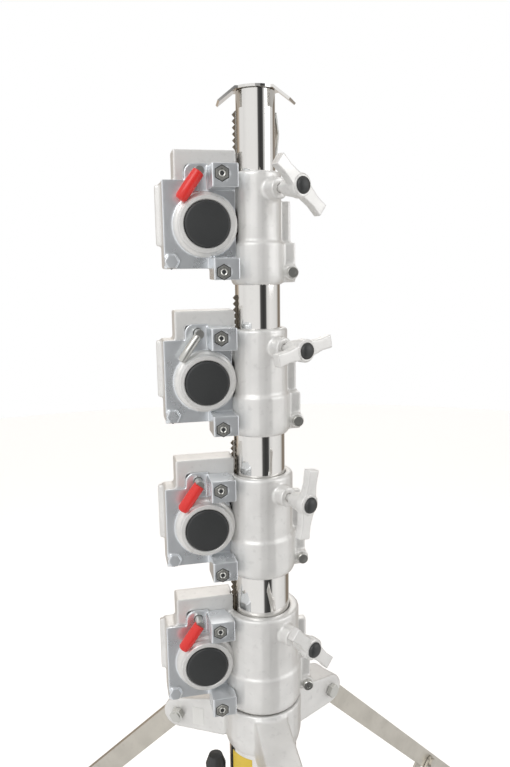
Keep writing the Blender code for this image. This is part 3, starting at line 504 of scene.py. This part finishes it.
def hex_nut(flats, height, stud):
    """A chamfered nut on z = 0, with the hollow end of its stud sunk in it."""
    across = flats / math.sqrt(3)
    nut = bmesh.new()
    bmesh.ops.create_circle(nut, cap_ends=True, segments=6, radius=across)
    face = nut.faces[:]
    steps = (
        (0, height - 0.6 * MM), (0.6 * MM, 0.6 * MM), (flats / 2 - stud - 1.1 * MM, 0), (0.5 * MM, -0.8 * MM),
    )
    for inset, rise in steps:
        if inset:
            bmesh.ops.inset_region(nut, faces=face, thickness=inset, use_even_offset=True)
        swept = bmesh.ops.extrude_face_region(nut, geom=face)
        bmesh.ops.delete(nut, geom=face, context="FACES_ONLY")
        face = [part for part in swept["geom"] if isinstance(part, bmesh.types.BMFace)]
        moved = [part for part in swept["geom"] if isinstance(part, bmesh.types.BMVert)]
        bmesh.ops.translate(nut, vec=(0, 0, rise), verts=moved)
    end = turned([
        (0, height - 2.6 * MM), (1.9 * MM, height - 2.4 * MM), (2.2 * MM, height - 0.5 * MM),
        (stud - 0.6 * MM, height),
        (stud, height - 0.5 * MM), (stud, height - 3 * MM), (0, height - 3.1 * MM),
    ], 32)
    return joined([nut, end])


def painted_shade_outline(flats, depth):
    """A thin dark hexagonal sheet, a little wider than a nut, that shows as a line round it: painted shade
    for the shaded gap of the recess the nut sits in.
    """
    return prism(6, flats / math.sqrt(3) + 1.0 * MM, -0.2 * MM, depth)


class STAND_OT_nuts(bpy.types.Operator):
    """Nuts on the covers, each on a thin sheet of painted shade, boss rings round the caps and bolt heads on
    the clamping ears
    """

    bl_idname = "stand.nuts"
    bl_label = "Nuts and bolts"

    def execute(self, context):
        forward = (0, -1, 0)
        for section in SECTIONS:
            gear = Vector(joint(f"gear_{section}_spin")["pos_m"])
            front = box(f"gear_cover_{section}")[0].y
            shapes, painted_shade_lines = [], []
            for x, z, depth in NUT_PLACES:
                face = Vector((gear.x + x * MM, front + depth * MM, gear.z + z * MM))
                seat = face + Vector((0, 0.1 * MM, 0))
                # Painted shade: a thin black sheet a little wider than each nut stands for the shade in the
                # recess round it
                painted_shade_lines.append(placed(painted_shade_outline(12.2 * MM, 0.15 * MM), facing(forward, seat)))
                seat = face + Vector((0, 2.4 * MM, 0))
                shapes.append(placed(hex_nut(12.4 * MM, 3.2 * MM, 3.7 * MM), facing(forward, seat)))
            body = body_of(f"gear_cover_{section}")
            piece(f"cover_nuts_{section}", joined(shapes), "zinc_plating", body)
            # the painted shade sheets round the nuts take the black moulding's colour
            piece(f"nut_pockets_{section}", joined(painted_shade_lines), "black_moulding_and_painted_shade", body)
            self.boss(section, gear, front)
            low, high = box(f"ear_bolt_{section}")
            seat = Vector(((low.x + high.x) / 2, low.y + 5 * MM, (low.z + high.z) / 2))
            head = turned([
                (0, 2.6 * MM), (2.6 * MM, 2.6 * MM), (2.9 * MM, 5.4 * MM), (5.2 * MM, 5.4 * MM),
                (5.8 * MM, 4.8 * MM),
                (5.8 * MM, 0), (0, 0),
            ], 48)
            piece(f"ear_bolt_head_{section}", placed(head, facing(forward, seat)), "zinc_plating",
                  body_of(f"ear_bolt_{section}"))
        return {"FINISHED"}

    @staticmethod
    def boss(section, gear, front):
        """The drafted ring round the cap, turned smooth."""
        plate = front + PLATE_DEPTH * MM
        deep = plate - box(f"dust_cap_{section}")[0].y
        profile = [
            (24 * MM, -MM), (33.2 * MM, -MM), (32.4 * MM, 1.2 * MM), (31.9 * MM, 5.2 * MM),
            (31.0 * MM, 6.2 * MM), (29.4 * MM, 6.6 * MM), (28.6 * MM, 7.6 * MM),
            (28.3 * MM, deep - 2.8 * MM), (27.6 * MM, deep - 2.0 * MM),
            (24.2 * MM, deep - 1.8 * MM), (23.3 * MM, deep - 2.6 * MM), (23.3 * MM, 4 * MM),
        ]
        place = facing((0, -1, 0), (gear.x, plate, gear.z))
        piece(f"cover_boss_{section}", placed(turned(profile, 128, closed=True), place), "blasted_casting",
              body_of(f"gear_cover_{section}"))


class STAND_OT_plugs(bpy.types.Operator):
    """Round black plugs in the hubs of the lock handles"""

    bl_idname = "stand.plugs"
    bl_label = "Handle plugs"

    def execute(self, context):
        names = [(f"handle_{section}_turn", f"lock_handle_{section}") for section in SECTIONS]
        names.append(("spreader_handle_turn", "spreader_lock"))
        for joint_name, node in names:
            axis = Vector(joint(joint_name)["axis"]).normalized()
            anchor = Vector(joint(joint_name)["pos_m"])
            corners = frame_vertices(node)
            reach = max((corner - anchor).dot(axis) for corner in corners)
            dome = [
                (8.4 * MM * math.cos(turn), MM + 4.6 * MM * math.sin(turn))
                for turn in (math.pi / 2 * step / 10 for step in range(11))
            ]
            profile = [(0, -MM), (8.4 * MM, -MM), *dome]
            rim = [
                (8.5 * MM, -MM), (10.8 * MM, -MM), (10.8 * MM, 0.3 * MM), (10.0 * MM, 1.0 * MM),
                (8.5 * MM, 0.9 * MM),
            ]
            place = facing(axis, anchor + axis * reach)
            piece(f"{node}_plug", placed(turned(profile, 64), place), "black_moulding_and_painted_shade", body_of(node))
            ring = placed(turned(rim, 64, closed=True), place)
            piece(f"{node}_rim", ring, "blasted_casting", body_of(node))
        return {"FINISHED"}


def frame_vertices(node):
    return [vertex.co.copy() for vertex in node_object(node).data.vertices]


def patch(points):
    """A thin closed sheet over a strip of (outward normal, low corner, high corner) stations."""
    shape = bmesh.new()
    rings = []
    for normal, low, high in points:
        ring = [shape.verts.new(corner + normal * lift) for corner, lift in
                ((low, -0.1 * MM), (low, 0.25 * MM), (high, 0.25 * MM), (high, -0.1 * MM))]
        rings.append(ring)
    for first, second in zip(rings, rings[1:]):
        for index in range(4):
            after = (index + 1) % 4
            shape.faces.new((first[index], first[after], second[after], second[index]))
    shape.faces.new(rings[0])
    shape.faces.new(rings[-1])
    return shape


class STAND_OT_labels(bpy.types.Operator):
    """The column's yellow label and the white sticker on the left arm, both bare"""

    bl_idname = "stand.labels"
    bl_label = "Labels"

    def execute(self, context):
        low, high = box("column_tube")
        radius = (high.x - low.x) / 2
        pivot = Vector(joint("leg_1_fold")["pos_m"]).z
        stations = []
        for step in range(LABEL_STEPS + 1):
            turn = math.radians(LABEL_START + LABEL_STEP * step)
            normal = Vector((math.cos(turn), math.sin(turn), 0))
            foot = Vector((AXIS.x, AXIS.y, 0)) + normal * radius
            bottom = foot + Vector((0, 0, pivot - LABEL_LOW * MM))
            stations.append((normal, bottom, foot + Vector((0, 0, pivot - LABEL_HIGH * MM))))
        piece("column_label", patch(stations), "yellow_label", body_of("column_tube"))
        arm = math.radians(LEFT_ARM)
        along = Vector((math.sin(arm), -math.cos(arm), 0))
        normal = Vector((math.cos(arm), math.sin(arm), 0))
        stations = []
        for reach in (STICKER_NEAR * MM, STICKER_FAR * MM):
            spot = Vector((AXIS.x, AXIS.y, 0)) + along * reach + normal * STICKER_OUT * MM
            bottom = spot + Vector((0, 0, pivot - STICKER_LOW * MM))
            stations.append((normal, bottom, spot + Vector((0, 0, pivot + STICKER_HIGH * MM))))
        piece("arm_sticker", patch(stations), "white_sticker", body_of("leg_hub"))
        return {"FINISHED"}


class STAND_OT_plain_nodes(bpy.types.Operator):
    """Finish of the pieces whose shape stays as it is"""

    bl_idname = "stand.plain_nodes"
    bl_label = "Plain pieces"

    def execute(self, context):
        kinds = {
            "rack": "rack_steel", "drive_gear": "zinc_plating", "pawl_lever": "zinc_plating",
            "ear_bolt": "zinc_plating",
            "leg_pivot_bolt": "zinc_plating", "leg": "plated_leg", "brace": "plated_leg",
            "foot": "rubber_pad",
            "column_plug": "black_moulding_and_painted_shade", "crank_grip": "black_moulding_and_painted_shade", "crank_arm": "zinc_plating",
            "crank_clip": "zinc_plating", "head_plate": "chromed_tube", "spigot_sleeve": "zinc_plating",
            "spigot_spring": "zinc_plating",
        }
        for node in frame["nodes"]:
            stem = node.rstrip("0123456789").rstrip("_")
            if stem in kinds:
                target = node_object(node)
                if not target.data.materials:
                    target.data.materials.append(None)
                for slot in target.material_slots:
                    slot.material = finish(kinds[stem])
        return {"FINISHED"}


# Stage

class STAND_OT_stage(bpy.types.Operator):
    """Pale floor, soft lamps, world and camera"""

    bl_idname = "stand.stage"
    bl_label = "Stage"

    def execute(self, context):
        self.floor()
        self.lamps()
        self.world()
        self.camera()
        return {"FINISHED"}

    @staticmethod
    def floor():
        shape = bmesh.new()
        bmesh.ops.create_circle(shape, cap_ends=True, segments=96, radius=6.0)
        mesh = bpy.data.meshes.new("floor")
        shape.to_mesh(mesh)
        shape.free()
        made = bpy.data.materials.new("pale_floor")
        made.use_nodes = True
        nodes, link = made.node_tree.nodes, made.node_tree.links.new
        shader = nodes["Principled BSDF"]
        shader.inputs["Base Color"].default_value = (0.85, 0.85, 0.84, 1)
        shader.inputs["Roughness"].default_value = 0.7
        white = nodes.new("ShaderNodeEmission")
        white.inputs["Strength"].default_value = 0.45
        path = nodes.new("ShaderNodeLightPath")
        total = nodes.new("ShaderNodeAddShader")
        choose = nodes.new("ShaderNodeMixShader")
        link(shader.outputs[0], total.inputs[0])
        link(white.outputs[0], total.inputs[1])
        link(path.outputs["Is Camera Ray"], choose.inputs[0])
        link(shader.outputs[0], choose.inputs[1])
        link(total.outputs[0], choose.inputs[2])
        link(choose.outputs[0], nodes["Material Output"].inputs["Surface"])
        mesh.materials.append(made)
        ground = bpy.data.objects.new("floor", mesh)
        ground.location.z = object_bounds()[0][2] - 0.5 * MM
        ground.visible_glossy = False   # the lower tubes reflect the room's strips too
        bpy.context.scene.collection.objects.link(ground)
        ground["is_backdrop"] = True

    @staticmethod
    def lamps():
        target = Vector((AXIS.x, AXIS.y, 1.25))
        for name, offset, size, share in (
            ("key", (-1.3, -1.6, 1.5), 1.2, 1.0),
            ("fill", (1.8, -1.0, 0.6), 1.2, 0.45),
            ("back", (0.4, 1.8, 1.4), 1.4, 0.6),
        ):
            lamp = bpy.data.lights.new(name, "AREA")
            lamp.size = size
            lamp.energy = settings().lamp * share
            holder = bpy.data.objects.new(name, lamp)
            holder.location = target + Vector(offset)
            holder.rotation_euler = (target - holder.location).to_track_quat("-Z", "Y").to_euler()
            bpy.context.scene.collection.objects.link(holder)

    @staticmethod
    def world():
        """White to the camera. For the light, a bright room with darker strips between its windows."""
        world = bpy.data.worlds.new("studio")
        bpy.context.scene.world = world
        world.use_nodes = True
        nodes, link = world.node_tree.nodes, world.node_tree.links.new
        room = nodes["Background"]
        place = nodes.new("ShaderNodeTexCoord")
        parts = nodes.new("ShaderNodeSeparateXYZ")
        link(place.outputs["Generated"], parts.inputs[0])
        angle = nodes.new("ShaderNodeMath")
        angle.operation = "ARCTAN2"
        link(parts.outputs["Y"], angle.inputs[0])
        link(parts.outputs["X"], angle.inputs[1])
        turn = nodes.new("ShaderNodeMapRange")
        turn.inputs["From Min"].default_value = -math.pi
        turn.inputs["From Max"].default_value = math.pi
        link(angle.outputs[0], turn.inputs["Value"])
        strips = nodes.new("ShaderNodeValToRGB")
        ramp = strips.color_ramp
        stops = [
            (0.0, 0.9), (0.07, 1.0), (0.20, 1.0), (0.24, 0.95), (0.256, 0.10), (0.29, 0.05), (0.33, 0.07),
            (0.35, 0.85), (0.40, 1.0), (0.455, 0.95), (0.52, 0.85), (0.57, 0.25),
            (0.62, 0.30), (0.68, 0.70), (0.76, 0.60), (0.82, 0.22), (0.885, 0.55), (0.93, 0.95),
        ]
        while len(ramp.elements) < len(stops):
            ramp.elements.new(0.5)
        for element, (position, level) in zip(ramp.elements, stops):
            element.position = position
            warm = 0.66 if level < 0.7 and position > 0.5 else 0.985
            element.color = (level, level * (1 + warm) / 2, level * warm, 1)
        link(turn.outputs[0], strips.inputs[0])
        link(strips.outputs[0], room.inputs["Color"])
        room.inputs["Strength"].default_value = 0.95
        white = nodes.new("ShaderNodeBackground")
        white.inputs["Strength"].default_value = 1.0
        white.inputs["Color"].default_value = (1, 1, 1, 1)
        path = nodes.new("ShaderNodeLightPath")
        choose = nodes.new("ShaderNodeMixShader")
        link(path.outputs["Is Camera Ray"], choose.inputs[0])
        link(room.outputs[0], choose.inputs[1])
        link(white.outputs[0], choose.inputs[2])
        link(choose.outputs[0], nodes["World Output"].inputs["Surface"])

    @staticmethod
    def camera():
        """Left of front, a little above, looking down at the gearboxes."""
        yaw, pitch = math.radians(CAMERA_YAW), math.radians(CAMERA_PITCH)
        lens = bpy.data.cameras.new("camera")
        lens.lens = CAMERA_LENS
        lens.clip_start = 0.05
        holder = bpy.data.objects.new("camera", lens)
        place = Vector((AXIS.x, AXIS.y, middle("dust_cap_1").z)) + Vector(CAMERA_OFFSET)
        tilt = Matrix.Rotation(math.pi / 2 - pitch, 4, "X") @ Matrix.Rotation(CAMERA_ROLL, 4, "Z")
        holder.matrix_world = Matrix.Translation(place) @ Matrix.Rotation(-yaw, 4, "Z") @ tilt
        bpy.context.scene.collection.objects.link(holder)
        bpy.context.scene.camera = holder
        bpy.context.scene.view_settings.view_transform = "Standard"


class STAND_PT_panel(bpy.types.Panel):
    """Lists the stand's finishes"""

    bl_idname = "STAND_PT_panel"
    bl_label = "Crank-up stand"
    bl_space_type = "VIEW_3D"
    bl_region_type = "UI"
    bl_category = "Stand"

    def draw(self, context):
        column = self.layout.column()
        for name in StandFinish.__annotations__:
            column.prop(context.scene.stand_finish, name)
        for operator in OPERATORS:
            column.operator(operator.bl_idname)


OPERATORS = (
    STAND_OT_castings, STAND_OT_tubes, STAND_OT_caps, STAND_OT_levers, STAND_OT_nuts, STAND_OT_plugs,
    STAND_OT_labels, STAND_OT_plain_nodes, STAND_OT_stage,
)
CLASSES = (StandFinish, *OPERATORS, STAND_PT_panel)


def register():
    for one in CLASSES:
        bpy.utils.register_class(one)
    bpy.types.Scene.stand_finish = bpy.props.PointerProperty(type=StandFinish)


def unregister():
    del bpy.types.Scene.stand_finish
    for one in reversed(CLASSES):
        bpy.utils.unregister_class(one)


def main():
    register()
    for operator in OPERATORS:
        group, name = operator.bl_idname.split(".")
        getattr(getattr(bpy.ops, group), name)()


if __name__ == "__main__":
    main()
